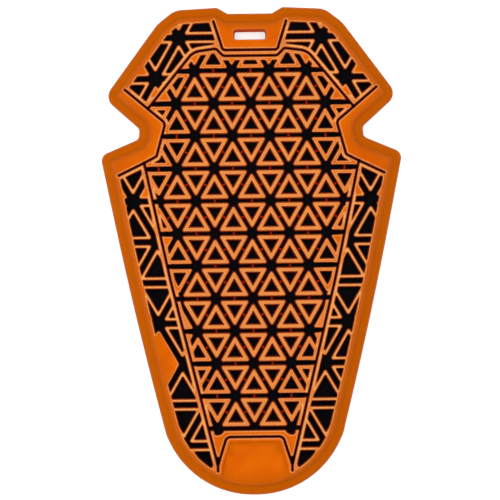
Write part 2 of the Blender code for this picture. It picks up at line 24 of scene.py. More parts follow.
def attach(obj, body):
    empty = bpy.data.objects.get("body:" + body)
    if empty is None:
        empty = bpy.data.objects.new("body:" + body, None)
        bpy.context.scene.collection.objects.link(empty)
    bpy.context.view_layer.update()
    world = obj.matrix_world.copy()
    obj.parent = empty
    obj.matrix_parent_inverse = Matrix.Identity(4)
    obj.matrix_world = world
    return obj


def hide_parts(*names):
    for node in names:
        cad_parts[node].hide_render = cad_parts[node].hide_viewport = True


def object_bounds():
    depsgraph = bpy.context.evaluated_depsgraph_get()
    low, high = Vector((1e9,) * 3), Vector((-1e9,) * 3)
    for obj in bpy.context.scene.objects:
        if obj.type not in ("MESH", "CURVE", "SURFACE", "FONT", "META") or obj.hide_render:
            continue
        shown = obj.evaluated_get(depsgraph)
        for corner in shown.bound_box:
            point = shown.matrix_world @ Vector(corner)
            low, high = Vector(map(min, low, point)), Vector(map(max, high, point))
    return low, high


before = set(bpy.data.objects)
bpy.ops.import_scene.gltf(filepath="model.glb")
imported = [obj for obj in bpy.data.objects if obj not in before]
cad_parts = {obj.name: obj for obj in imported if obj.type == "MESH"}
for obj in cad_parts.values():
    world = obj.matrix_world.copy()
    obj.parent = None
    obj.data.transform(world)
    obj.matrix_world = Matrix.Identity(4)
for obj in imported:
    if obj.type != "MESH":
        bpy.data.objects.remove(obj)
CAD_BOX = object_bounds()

LOG = logging.getLogger("knee_insert")
PHOTO_PIXELS = 500
# Angle between two faces over which their edge is sharp
SHARP = math.radians(40.0)
# Numbers kept for the cells of one row
ROW_STRIDE = 1000
# Plan that is surveyed round the outline
MARGIN = 0.003
# Gap between the front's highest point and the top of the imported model's box
TOP_GAP = 1.0e-5
# Keeps a divisor from being zero
TINY = 1.0e-9
Loop = list[tuple[float, float]]


class Slot(Enum):
    """Material slots of the record."""

    FOAM = "orange_foam"
    SHEET = "black_sheet"


class GrooveCorner(IntEnum):
    """Corners of the panel's groove at which another groove or the plate starts."""

    UPPER_ARM = 3
    LOWER_ARM = 6
    PLATE_TIP = 8
    PLATE_TOP = 9


def linear(code: str) -> tuple[float, float, float, float]:
    """Linear red, green, blue and alpha of six hex digits in sRGB."""
    parts = [int(code[i : i + 2], 16) / 255.0 for i in (0, 2, 4)]
    return (*(c / 12.92 if c <= 0.04045 else ((c + 0.055) / 1.055) ** 2.4 for c in parts), 1.0)


def add(
    tree: NodeTree, kind: str, *values: object, named: dict | None = None, **settings: object
) -> Node:
    """Adds a node with its settings and links.

    Args:
        tree: Node tree that takes the node.
        kind: Class name of the node.
        values: What goes into its inputs in order: a value, a socket, a node or None.
        named: The same by the input's name.
        settings: The node's own properties.

    Returns:
        The new node.
    """
    node = tree.nodes.new(kind)
    for name, setting in settings.items():
        setattr(node, name, setting)
    for key, value in [*enumerate(values), *(named or {}).items()]:
        if isinstance(value, Node):
            value = value.outputs[0]
        if isinstance(value, NodeSocket):
            tree.links.new(value, node.inputs[key])
        elif value is not None:
            node.inputs[key].default_value = value
    return node


def mix(
    tree: NodeTree, factor: Node | NodeSocket, first: str | NodeSocket, second: str | NodeSocket
) -> NodeSocket:
    """Blends two colours, each given as a hex code or as a socket.

    Args:
        tree: Node tree that takes the node.
        factor: How much of the second colour shows.
        first: The first colour.
        second: The second colour.

    Returns:
        The socket of the blend.
    """
    first, second = (linear(c) if isinstance(c, str) else c for c in (first, second))
    named = {0: factor, 6: first, 7: second}
    return add(tree, "ShaderNodeMix", data_type="RGBA", named=named).outputs[2]


def shaded(name: str) -> tuple[Material, NodeTree, Node]:
    """Starts a material.

    Args:
        name: Name of the material.

    Returns:
        The material, its node tree and its shader.
    """
    material = bpy.data.materials.new(name)
    material.use_nodes = True
    return material, material.node_tree, material.node_tree.nodes["Principled BSDF"]


def linked(name: str, data: ID) -> Object:
    """Makes an object and links it to the scene.

    Args:
        name: Name of the object.
        data: Its mesh, lamp or camera.

    Returns:
        The object.
    """
    item = bpy.data.objects.new(name, data)
    bpy.context.collection.objects.link(item)
    return item


def dress(item: Object, node: str) -> None:
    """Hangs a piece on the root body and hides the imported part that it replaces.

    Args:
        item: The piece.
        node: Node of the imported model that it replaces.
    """
    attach(item, "root")
    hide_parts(node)


class Corner(NamedTuple):
    """A corner of a half outline.

    Across and radius are shares of half the width, and along is a share of half the length.
    """

    across: float
    along: float
    radius: float


@dataclass(frozen=True)
class Crown:
    """Curve of the moulded shell, as the height of its underside over the floor."""

    half_width: float = 0.0845
    half_length: float = 0.1375
    flat: float = 0.021
    radius_across: float = 0.130
    centre: float = 0.015
    tab_arc: float = 0.096
    tail_arc: float = 0.117
    shoulder: float = 0.404
    lift: float = 0.0

    def across(self, x: Array) -> Array:
        """Drop of the arc across, away from the flat middle."""
        return np.maximum(np.abs(x) - self.flat, 0.0) ** 2 / (2.0 * self.radius_across)

    def bend(self, y: Array) -> Array:
        """Drop of the arc along, times its radius. It goes on straight past its end.

        Args:
            y: Distances along the insert.

        Returns:
            One value for each distance.
        """
        distance = np.abs(y - self.centre)
        arc = np.where(y > self.centre, self.tab_arc, self.tail_arc)
        return np.minimum(distance, arc) ** 2 / 2.0 + arc * np.maximum(distance - arc, 0.0)

    @property
    def radius_along(self) -> float:
        """Radius that brings the end of the tail down as low as the shoulders."""
        tail = self.bend(-self.half_length) - self.bend(self.shoulder * self.half_length)
        return float(tail / self.across(self.half_width))

    @property
    def tab_slope(self) -> float:
        """Slope of the straight tab end."""
        return self.tab_arc / self.radius_along

    def height(self, points: Array) -> Array:
        """Height of the shell's underside at plan points."""
        x, y = points[:, 0], points[:, 1]
        return self.lift - self.across(x) - self.bend(y) / self.radius_along


def rounded(
    corners: list[tuple[float, float, float]], chord: float = 1.0e-5, longest_cut: float = 0.92
) -> Loop:
    """Closed path through a corner list, with an arc at each corner.

    Args:
        corners: X, Y and radius of each corner in turn.
        chord: How far a straight piece may lie off its arc.
        longest_cut: Share of the shorter side that an arc may take.

    Returns:
        The points of the path.
    """
    path = []
    for i, (x, y, radius) in enumerate(corners):
        here = Vector((x, y))
        back = Vector(corners[i - 1][:2]) - here
        ahead = Vector(corners[(i + 1) % len(corners)][:2]) - here
        turn = math.pi - back.angle(ahead)
        cut = min(radius * math.tan(turn / 2.0), longest_cut * min(back.length, ahead.length))
        if cut < chord:
            path.append((x, y))
            continue
        bow = cut / math.tan(turn / 2.0)
        steps = math.ceil(turn / (2.0 * math.acos(1.0 - min(chord / bow, 1.0))))
        toward = (back.normalized() + ahead.normalized()).normalized()
        centre = here + toward * math.hypot(cut, bow)
        start = here + back.normalized() * cut - centre
        end = here + ahead.normalized() * cut - centre
        first = math.atan2(start.y, start.x)
        sweep = (math.atan2(end.y, end.x) - first + math.pi) % (2.0 * math.pi) - math.pi
        for k in range(steps + 1):
            angle = first + sweep * k / steps
            path.append((centre.x + bow * math.cos(angle), centre.y + bow * math.sin(angle)))
    return path


def path_distance(points: Array, path: Loop, closed: bool = True) -> Array:
    """Distance from plan points to a path.

    Args:
        points: Rows of plan points.
        path: Points of the path.
        closed: Whether its end joins its start.

    Returns:
        One distance for each point, never negative.
    """
    best = np.full(len(points), np.inf)
    ends = path[1:] + path[:1] if closed else path[1:]
    for (ax, ay), (bx, by) in zip(path, ends):
        dx, dy = bx - ax, by - ay
        px, py = points[:, 0] - ax, points[:, 1] - ay
        share = np.clip((px * dx + py * dy) / max(dx * dx + dy * dy, TINY**2), 0.0, 1.0)
        np.minimum(best, (px - share * dx) ** 2 + (py - share * dy) ** 2, out=best)
    return np.sqrt(best)


def loop_distance(points: Array, loop: Loop) -> Array:
    """Signed distance from plan points to a closed loop.

    Args:
        points: Rows of plan points.
        loop: Points of the loop.

    Returns:
        One distance for each point, negative inside.
    """
    within = np.zeros(len(points), bool)
    x, y = points[:, 0], points[:, 1]
    for (ax, ay), (bx, by) in zip(loop, loop[1:] + loop[:1]):
        if ay != by:
            within ^= ((ay > y) != (by > y)) & (x < (bx - ax) * (y - ay) / (by - ay) + ax)
    return path_distance(points, loop) * np.where(within, -1.0, 1.0)


def round_max(a: Array, b: Array, radius: float) -> Array:
    """Overlap of two signed distances, with its corner rounded by a radius."""
    length = np.hypot(np.maximum(radius + a, 0.0), np.maximum(radius + b, 0.0))
    return np.minimum(-radius, np.maximum(a, b)) + length


def round_min(a: Array, b: Array, radius: float) -> Array:
    """Sum of two signed distances, with its inner corner filled by a radius."""
    return -round_max(-a, -b, radius)


def plan_grid(xs: Array, ys: Array) -> Array:
    """Plan points of a grid, row by row."""
    x, y = np.meshgrid(xs, ys)
    return np.column_stack([x.ravel(), y.ravel()])


def loop_area(loop: Array) -> float:
    """Area within a loop, positive where it runs counter-clockwise."""
    x, y = loop[:, 0], loop[:, 1]
    return 0.5 * float(np.sum(x * np.roll(y, -1) - y * np.roll(x, -1)))


@dataclass(frozen=True)
class Lattice:
    """Triangular lattice of rings with channels between them."""

    pitch: float
    stretch: float
    first_row: float
    channel: float
    wall: float
    corner: float
    hole_corner: float
    rows_above: int = 2
    columns_aside: int = 5

    @property
    def rise(self) -> float:
        """Distance between two rows."""
        return self.stretch * self.pitch * math.sqrt(3.0) / 2.0

    @property
    def inradius(self) -> float:
        """Inner radius of a ring's outside."""
        return self.rise / 3.0 - self.channel / 2.0

    def sides(self, points: Array) -> tuple[Array, Array]:
        """Where each point lies in its own cell.

        Args:
            points: Rows of plan points.

        Returns:
            Distances to the cell's three sides, and the number of the cell.
        """
        offset = (points - (self.pitch / 2.0, self.first_row)) * (self.stretch, 1.0)
        normals = np.array([(0.0, 1.0), (-math.sqrt(0.75), -0.5), (math.sqrt(0.75), -0.5)])
        steps = offset @ normals.T / self.rise
        whole = np.floor(steps)
        share = steps - whole
        down = share.sum(axis=1) > 1.5
        share[down] = 1.0 - share[down]
        key = (whole[:, 0] * ROW_STRIDE + whole[:, 1]) * 2.0 + down
        return share * self.rise, key.astype(int)

    @staticmethod
    def rounded_triangle(sides: Array, inset: float, radius: float) -> Array:
        """Signed distance to a triangle with rounded corners.

        Args:
            sides: Distances to the three sides of the cell.
            inset: How far the triangle lies inside the cell.
            radius: Radius of its corners.

        Returns:
            One distance for each row of sides, negative inside.
        """
        beyond = np.sort(inset + radius - sides, axis=1)
        a, b = beyond[:, 2], beyond[:, 1]
        at_corner = (a > 0.0) & (b + a / 2.0 > 0.0)
        reach = np.sqrt(np.maximum(a * a + b * b + a * b, 0.0) / 0.75)
        return np.where(at_corner, reach, a) - radius

    def ring(self, points: Array, left_out: frozenset[int] = frozenset()) -> Array:
        """Signed distance to the rings' walls.

        Args:
            points: Rows of plan points.
            left_out: Numbers of the cells that hold no ring.

        Returns:
            One distance for each point, negative in a wall.
        """
        sides, cell = self.sides(points)
        outside = self.rounded_triangle(sides, self.channel / 2.0, self.corner)
        hole = self.rounded_triangle(sides, self.channel / 2.0 + self.wall, self.hole_corner)
        ring = np.maximum(outside, -hole)
        empty = np.isin(cell, list(left_out))
        return np.where(empty, self.channel / 2.0 + sides.min(axis=1), ring)

    def cells(self, reach: float) -> list[tuple[float, float, bool]]:
        """Centres of the cells.

        Args:
            reach: Half the length of the plan to cover.

        Returns:
            X and Y of each cell, and whether it points up.
        """
        found = []
        last = math.ceil((self.first_row + reach) / self.rise)
        for row in range(-self.rows_above, last + 1):
            for column in range(-self.columns_aside, self.columns_aside + 1):
                x = (column + (0.5 if row % 2 == 0 else 0.0)) * self.pitch
                y = self.first_row - row * self.rise
                found.append((x + self.pitch / 2.0, y - self.rise / 3.0, False))
                found.append((x, y - self.rise * 2.0 / 3.0, True))
        return found


class Survey(NamedTuple):
    """Signed distances at some plan points."""

    edge: Array
    panel: Array
    slot: Array
    recess: Array
    foam: Array


@dataclass
class InsertPlan:
    """Plan of the moulding: outline, grooves, slot, plain areas and lattices."""

    crown: Crown
    outline: tuple[Corner, ...] = (
        Corner(0.147, 0.9745, 0.020),
        Corner(0.218, 1.0000, 0.030),
        Corner(0.500, 0.9915, 0.140),
        Corner(0.618, 0.9350, 0.250),
        Corner(0.980, 0.6350, 0.085),
        Corner(0.744, 0.5060, 0.035),
        Corner(0.749, 0.4650, 0.035),
        Corner(1.0085, 0.3990, 0.059),
        Corner(0.7935, -0.2500, 29.0),
        Corner(0.591, -0.7490, 0.095),
        Corner(0.407, -0.9980, 0.615),
    )
    panel_groove: tuple[Corner, ...] = (
        Corner(0.180, 0.8004, 0.035),
        Corner(0.228, 0.8304, 0.018),
        Corner(0.379, 0.8180, 0.110),
        Corner(0.685, 0.5876, 0.006),
        Corner(0.570, 0.5280, 0.036),
        Corner(0.631, 0.3927, 0.018),
        Corner(0.714, 0.3665, 0.006),
        Corner(0.549, -0.1120, 1.200),
        Corner(0.248, -0.8756, 0.004),
        Corner(0.188, -0.7585, 0.036),
    )
    upper_arm_end: Corner = Corner(0.838, 0.6676, 0.0)
    lower_arm_end: Corner = Corner(0.885, 0.3164, 0.0)
    tab_groove_corner: Corner = Corner(0.188, 0.8243, 0.024)
    tab_groove_end: Corner = Corner(0.242, 0.9420, 0.0)
    groove: float = 0.0017
    rib: float = 0.0015
    rim: float = 0.0082
    slot_length: float = 0.0184
    slot_height: float = 0.0058
    slot_corner: float = 0.0018
    slot_inset: float = 0.0154
    draft: float = 0.0006
    trim: float = 0.0001
    valley_end: float = 0.0032
    valley_top: float = 0.0042
    web_radius: float = 0.0006
    plate_lip: float = 0.0016
    panel_lattice: Lattice = Lattice(0.0209, 1.0105, 0.1017, 0.0030, 0.00185, 0.0007, 0.0004)
    side_lattice: Lattice = Lattice(0.0267, 0.9926, 0.1206, 0.0037, 0.0012, 0.0008, 0.0008)
    last_row: int = 11
    last_node_reach: float = 0.0040
    patch_row: int = 8
    patch_column: int = -2
    patch_corner: float = 0.001
    whole_rings: frozenset[int] = field(default_factory=frozenset)

    def __post_init__(self) -> None:
        """Works out the loops once."""
        self.edge_loop = rounded(self.both_halves(self.outline))
        self.panel_loop = rounded(self.both_halves(self.panel_groove))
        x, y = self.slot_length / 2.0, self.slot_height / 2.0
        centre = self.crown.half_length - self.slot_inset
        corners = ((-x, -y), (x, -y), (x, y), (-x, y))
        self.slot_loop = rounded([(a, b + centre, self.slot_corner) for a, b in corners])

    def place(self, corner: Corner, side: float = 1.0) -> tuple[float, float, float]:
        """X, Y and radius of a table corner in the right half, or with a side of -1 in the left."""
        width, length = self.crown.half_width, self.crown.half_length
        return side * corner.across * width, corner.along * length, corner.radius * width

    def both_halves(self, table: tuple[Corner, ...]) -> list[tuple[float, float, float]]:
        """Counter-clockwise corner list from the table of a right half."""
        return [self.place(c, -1.0) for c in table] + [self.place(c) for c in reversed(table)]

    def grooves(self, points: Array, panel: Array) -> Array:
        """Signed distance to the narrow grooves.

        Args:
            points: Rows of plan points.
            panel: Their signed distances to the middle of the panel's groove.

        Returns:
            One distance for each point, negative in a groove.
        """
        half = self.groove / 2.0
        result = np.abs(panel) - half
        arms = (
            (self.panel_groove[GrooveCorner.UPPER_ARM], self.upper_arm_end),
            (self.panel_groove[GrooveCorner.LOWER_ARM], self.lower_arm_end),
        )
        for side in (-1.0, 1.0):
            x, y, _ = self.place(self.panel_groove[GrooveCorner.PLATE_TIP], side)
            slit = [(x, y + self.valley_top), (x, y - self.valley_end)]
            paths = [[self.place(start, side)[:2], self.place(end, side)[:2]] for start, end in arms]
            for path in (*paths, slit):
                result = round_min(result, path_distance(points, path, False) - half, self.web_radius)
        end, corner = self.place(self.tab_groove_end), self.place(self.tab_groove_corner)
        far = (end[0], 2.0 * self.crown.half_length, 0.0)
        tab = rounded([(-far[0], far[1], 0.0), (-corner[0], *corner[1:]), corner, far])
        tab = [point for point in tab if point[1] < end[1]]
        tab = [(-end[0], end[1]), *tab, (end[0], end[1])]
        return np.minimum(result, path_distance(points, tab, False) - half)

    def plain_areas(self, points: Array) -> tuple[Array, Array]:
        """Signed distances to the areas that stay unpierced.

        Args:
            points: Rows of plan points.

        Returns:
            The distance to the lower plate, and to the plate, tab, notch pads and filled patch.
        """
        beyond = 2.0 * self.crown.half_length
        tab = [self.place(self.tab_groove_corner)[:2], self.place(self.tab_groove_end)[:2]]
        tab.append((tab[1][0], beyond))
        ends = (GrooveCorner.PLATE_TOP, GrooveCorner.PLATE_TIP)
        plate = [self.place(self.panel_groove[corner])[:2] for corner in ends]
        plate.append((plate[1][0], -beyond))
        closed = [half + [(-x, y) for x, y in reversed(half)] for half in (plate, tab)]
        plate_area = loop_distance(points, closed[0])
        plain = np.minimum(plate_area, loop_distance(points, closed[1]))
        along_pad = self.panel_groove[GrooveCorner.UPPER_ARM : GrooveCorner.LOWER_ARM + 1]
        corners = (self.upper_arm_end, *along_pad, self.lower_arm_end)
        for side in (-1.0, 1.0):
            pad = [self.place(corner, side)[:2] for corner in corners]
            pad += [(side * beyond, pad[-1][1]), (side * beyond, pad[0][1])]
            plain = np.minimum(plain, loop_distance(points, pad))
        lattice = self.side_lattice
        x, y = self.patch_column * lattice.pitch, lattice.first_row - self.patch_row * lattice.rise
        across = lattice.pitch / 2.0 - lattice.channel / math.sqrt(3.0)
        along = lattice.rise - lattice.channel
        diamond = ((x - across, y), (x, y - along), (x + across, y), (x, y + along))
        patch = rounded([(*corner, self.patch_corner) for corner in diamond])
        return plate_area, np.minimum(plain, loop_distance(points, patch))

    def survey(self, points: Array) -> Survey:
        """Signed distances at plan points.

        Args:
            points: Rows of plan points.

        Returns:
            Distances to the edge, the panel, the slot, the plate's recess and the foam.
        """
        edge = loop_distance(points, self.edge_loop)
        panel = loop_distance(points, self.panel_loop)
        slot = loop_distance(points, self.slot_loop)
        groove = self.grooves(points, panel)
        plate, plain = self.plain_areas(points)
        radius = self.web_radius
        side_open = round_max(edge + self.rim, self.rib - groove, radius)
        side_open = round_max(side_open, -plain, radius)
        side_gap = round_max(side_open, -self.side_lattice.ring(points), radius)
        inner = panel + self.groove / 2.0 + self.rib
        panel_gap = round_max(inner, -self.panel_lattice.ring(points, self.whole_rings), radius)
        row = self.row_distance(points) - self.panel_lattice.channel / 2.0
        panel_gap = np.where(self.below_last_row(points), self.last_nodes(points, inner), panel_gap)
        panel_gap = round_min(panel_gap, np.maximum(row, panel - self.groove / 2.0), radius / 2.0)
        gap = np.where(panel < 0.0, panel_gap, side_gap)
        gap = np.minimum(np.minimum(gap, groove), slot)
        recess = round_max(plate, self.plate_lip - groove, self.plate_lip)
        recess = round_max(recess, edge + self.rim - self.plate_lip, self.plate_lip)
        foam = np.maximum(edge + self.draft + self.trim, -gap)
        return Survey(edge, panel, slot, recess, foam)

    def row_distance(self, points: Array) -> Array:
        """Distance to the nearest row line of the panel's lattice."""
        rows = (self.panel_lattice.first_row - points[:, 1]) / self.panel_lattice.rise
        return np.abs(rows - np.minimum(np.round(rows), self.last_row)) * self.panel_lattice.rise

    def below_last_row(self, points: Array) -> Array:
        """Whether each point lies in the solid foot of the panel."""
        lattice = self.panel_lattice
        return points[:, 1] < lattice.first_row - self.last_row * lattice.rise

    def last_nodes(self, points: Array, inner: Array) -> Array:
        """Signed distance to the lower halves of the last two nodes.

        Args:
            points: Rows of plan points.
            inner: Their signed distances to the inside of the panel's border.

        Returns:
            One distance for each point, negative in a gap.
        """
        lattice = self.panel_lattice
        x = np.abs(points[:, 0]) - lattice.pitch
        y = points[:, 1] - lattice.first_row + self.last_row * lattice.rise
        return round_max(np.hypot(x, y) - self.last_node_reach, inner, self.web_radius)


@dataclass
class Contours:
    """Level lines of a field over the plan, on a fine square grid."""

    reach_x: float
    reach_y: float
    step: float = 0.00035
    tolerance: float = 0.000012
    longest: float = 0.004

    def __post_init__(self) -> None:
        """Lays out the grid."""
        self.columns = math.ceil(2.0 * self.reach_x / self.step)
        self.rows = math.ceil(2.0 * self.reach_y / self.step)
        self.xs = -self.reach_x + self.step * np.arange(self.columns)
        self.ys = -self.reach_y + self.step * np.arange(self.rows)

    def points(self) -> Array:
        """The grid's points, row by row."""
        return plan_grid(self.xs, self.ys)

    def coarse(self, step: float) -> Array:
        """Points of a coarser grid over the same plan."""
        xs, ys = (np.arange(-reach, reach, step) for reach in (self.reach_x, self.reach_y))
        return plan_grid(xs, ys)

    def trace(self, values: Array, level: float, least_area: float = 1.0e-9) -> list[Loop]:
        """Closed lines along which the field has one value.

        Args:
            values: The field at each grid point.
            level: The value that the lines follow.
            least_area: Loops that enclose less are left out.

        Returns:
            The lines, free of needless points and counter-clockwise.
        """
        grid = values.reshape(self.rows, self.columns) - level
        # No line runs exactly through a grid point
        grid = np.where(grid == 0.0, 1.0e-12, grid)
        low = grid < 0.0
        size = grid.size
        spots: dict[int, tuple[float, float]] = {}
        for down, across, base in ((0, 1, 0), (1, 0, size)):
            a = grid[: self.rows - down, : self.columns - across]
            b = grid[down:, across:]
            j, i = np.nonzero((a < 0.0) != (b < 0.0))
            share = a[j, i] / (a[j, i] - b[j, i])
            x = self.xs[i] + self.step * share * across
            y = self.ys[j] + self.step * share * down
            keys = base + j * self.columns + i
            spots.update(zip(keys.tolist(), zip(x.tolist(), y.tolist())))
        joined = defaultdict(list)
        mixed = low[:-1, :-1].astype(int) + low[1:, :-1] + low[:-1, 1:] + low[1:, 1:]
        for j, i in zip(*(axis.tolist() for axis in np.nonzero((mixed > 0) & (mixed < 4)))):
            here = j * self.columns + i
            bottom, top, left, right = here, here + self.columns, size + here, size + here + 1
            crossed = [key for key in (bottom, right, top, left) if key in spots]
            if len(crossed) == 4:
                centre_low = grid[j : j + 2, i : i + 2].mean() < 0.0
                flip = bool(low[j, i]) != centre_low
                pairs = ((bottom, left), (top, right)) if flip else ((bottom, right), (top, left))
            else:
                pairs = (tuple(crossed),)
            for one, other in pairs:
                joined[one].append(other)
                joined[other].append(one)
        return [self.finished(loop) for loop in self.walk(joined, spots, least_area)]

    @staticmethod
    def walk(joined: dict, spots: dict, least_area: float) -> list[Array]:
        """Loops through joined crossings.

        Args:
            joined: The neighbours of each crossing.
            spots: The place of each crossing.
            least_area: Loops that enclose less are left out.

        Returns:
            Points of each loop, counter-clockwise.
        """
        loops, left = [], set(joined)
        while left:
            start = left.pop()
            keys, here = [start], start
            while True:
                ahead = [key for key in joined[here] if key in left]
                if not ahead:
                    break
                here = ahead[0]
                left.discard(here)
                keys.append(here)
            loop = np.array([spots[key] for key in keys])
            area = loop_area(loop)
            if abs(area) > least_area:
                loops.append(loop if area > 0.0 else loop[::-1])
        return loops

    def finished(self, loop: Array) -> Loop:
        """A loop without needless points and without long edges.

        Args:
            loop: Points of a traced loop.

        Returns:
            The points that are left or added.
        """
        ring = np.vstack([loop, loop[:1]])
        keep = np.zeros(len(ring), bool)
        far = int(np.argmax(np.hypot(*(loop - loop[0]).T)))
        keep[[0, far, len(loop)]] = True
        stack = [(0, far), (far, len(loop))]
        while stack:
            first, last = stack.pop()
            if last - first < 2:
                continue
            span, offset = ring[last] - ring[first], ring[first + 1 : last] - ring[first]
            off = np.abs(span[0] * offset[:, 1] - span[1] * offset[:, 0]) / max(np.hypot(*span), TINY)
            worst = int(np.argmax(off))
            if off[worst] > self.tolerance:
                keep[first + 1 + worst] = True
                stack += [(first, first + 1 + worst), (first + 1 + worst, last)]
        kept = ring[keep]
        path = []
        for a, b in zip(kept, kept[1:]):
            pieces = max(math.ceil(np.hypot(*(b - a)) / self.longest), 1)
            path += [tuple(a + (b - a) * k / pieces) for k in range(pieces)]
        return path


@dataclass(frozen=True)
class Section:
    """Heights of the foam over the shell's underside, and the shape of its edges."""

    seat: float = 0.0018
    edge_radius: float = 0.0006
    edge_turns: tuple[float, ...] = (0.0, 30.0, 60.0, 90.0)
    beyond_edge: float = 1.4
    lip_width: float = 0.0055
    lip_step: float = 0.00015
    recess_depth: float = 0.0009
    recess_slope: float = 0.0008
    depths: tuple[float, ...] = (0.0, 0.0012, 0.0041, 0.0044, 0.0050, 0.0058, 0.0066, 0.0073, 0.0080)
    heights: tuple[float, ...] = (0.0040, 0.0043, 0.0047, 0.0047, 0.0053, 0.0067, 0.0080, 0.0087, 0.0090)
    # Painted shade on the outer band, by depth in from the edge, and at the plate's recess step
    shade_depths: tuple[float, ...] = (0.0, 0.0010, 0.0040, 0.0044, 0.0050, 0.0062, 0.0085, 0.0120)
    band_shades: tuple[float, ...] = (1.0, 0.8, 0.8, 1.0, 0.75, 0.5, 0.2, 0.0)
    recess_shade: float = 0.6

    @property
    def edge_levels(self) -> tuple[float, ...]:
        """Depths in the foam at which its rounded edge is sampled, with one beyond it."""
        arc = [self.edge_radius * (1.0 - math.cos(math.radians(turn))) for turn in self.edge_turns]
        return (*arc, self.beyond_edge * self.edge_radius)

    @property
    def full(self) -> float:
        """Height of the foam inside the rim."""
        return self.heights[-1]

    def underside(self, survey: Survey) -> Array:
        """Height of the foam's underside over the shell's."""
        inward = (-survey.edge - self.lip_width) / self.lip_step
        return self.seat * np.clip(inward, 0.0, 1.0)

    def front(self, survey: Survey) -> Array:
        """Height of the foam's front before its edges are rounded.

        Args:
            survey: Signed distances at the points.

        Returns:
            Heights over the shell's underside.
        """
        share = np.clip(-survey.recess / self.recess_slope, 0.0, 1.0)
        recess = self.recess_depth * share * share * (3.0 - 2.0 * share)
        return np.interp(-survey.edge, self.depths, self.heights) - recess

    def band_shade(self, survey: Survey) -> Array:
        """Painted shade on the skin: most on the outer band, and along the step of the plate's recess.

        Args:
            survey: Signed distances at the points.

        Returns:
            One share for each point.
        """
        rim_shade = np.interp(-survey.edge, self.shade_depths, self.band_shades)
        step = 1.0 - np.abs(np.clip(-survey.recess / self.recess_slope, 0.0, 2.0) - 1.0)
        return np.maximum(rim_shade, self.recess_shade * step)

    def rounded_front(self, survey: Survey, draft: float) -> Array:
        """Height of the front with its rounded edges and its leaning walls.

        Args:
            survey: Signed distances at the points.
            draft: How far the foot of a wall stands out from its top.

        Returns:
            Heights over the shell's underside.
        """
        short = np.clip(1.0 + survey.foam / self.edge_radius, 0.0, 1.0)
        top = self.front(survey) - self.edge_radius * (1.0 - np.sqrt(1.0 - short * short))
        foot = self.underside(survey)
        share = np.clip(survey.foam / draft, 0.0, 1.0)
        return top + (foot - top) * share


def smooth_mesh(name: str, verts: Array, faces: list) -> Object:
    """Object of a closed mesh with smooth faces and sharp edges over an angle.

    Args:
        name: Name of the object.
        verts: Rows of X, Y and Z.
        faces: Lists of vertex numbers, outwards.

    Returns:
        The object, linked to the scene.
    """
    mesh = bpy.data.meshes.new(name)
    mesh.from_pydata(verts.tolist(), [], faces)
    mesh.validate()
    mesh.shade_smooth()
    mesh.set_sharp_from_angle(angle=SHARP)
    return linked(name, mesh)


def paint(item: Object, name: str, values: Array) -> None:
    """Writes a named number for each vertex of an object."""
    layer = item.data.attributes.new(name, "FLOAT", "POINT")
    layer.data.foreach_set("value", values.astype(np.float32))


@dataclass
class Triangulation:
    """Triangles between loops, with the number of loops round each."""

    loops: list[Loop]
    lines: list[Loop]
    loose: Array
    weld: float = 1.0e-7

    def __post_init__(self) -> None:
        """Triangulates the plan."""
        points, edges, faces = [], [], []
        for path, encloses in [(p, True) for p in self.loops] + [(p, False) for p in self.lines]:
            numbers = list(range(len(points), len(points) + len(path)))
            points += [Vector(point) for point in path]
            if encloses:
                faces.append(numbers)
            else:
                edges += list(zip(numbers, numbers[1:] + numbers[:1]))
        points += [Vector(point) for point in self.loose]
        result = delaunay_2d_cdt(points, edges, faces, 0, self.weld)
        self.points = np.array([tuple(point) for point in result[0]])
        inside = [k for k, origin in enumerate(result[5]) if len(origin) % 2 == 1]
        self.faces = np.array([tuple(result[2][k]) for k in inside])

    def part(self, chosen: Array) -> tuple[Array, Array, Array]:
        """The chosen triangles with their own vertex numbers.

        Args:
            chosen: Whether each triangle is taken.

        Returns:
            Their points, their faces, and which points lie on their border.
        """
        used, faces = np.unique(self.faces[chosen], return_inverse=True)
        faces = faces.reshape(-1, 3)
        edges = np.sort(np.vstack([faces[:, [0, 1]], faces[:, [1, 2]], faces[:, [2, 0]]]), axis=1)
        sides, count = np.unique(edges, axis=0, return_counts=True)
        border = np.zeros(len(used), bool)
        border[sides[count == 1]] = True
        return self.points[used], faces, border


def extruded(
    points: Array, faces: Array, border: Array, top: Array, bottom: Array
) -> tuple[Array, list, Array]:
    """Closed surface between two heights over a plan, which meet at its border.

    Args:
        points: Rows of plan points.
        faces: Triangles, counter-clockwise.
        border: Which points lie on the border.
        top: Upper height of each point.
        bottom: Lower height of each point.

    Returns:
        Vertices, faces, and the plan point under each vertex.
    """
    inner = np.flatnonzero(~border)
    under = np.arange(len(points))
    under[inner] = len(points) + np.arange(len(inner))
    upper = np.column_stack([points, np.where(border, bottom, top)])
    lower = np.column_stack([points[inner], bottom[inner]])
    all_faces = faces.tolist() + under[faces[:, ::-1]].tolist()
    return np.vstack([upper, lower]), all_faces, np.concatenate([np.arange(len(points)), inner])


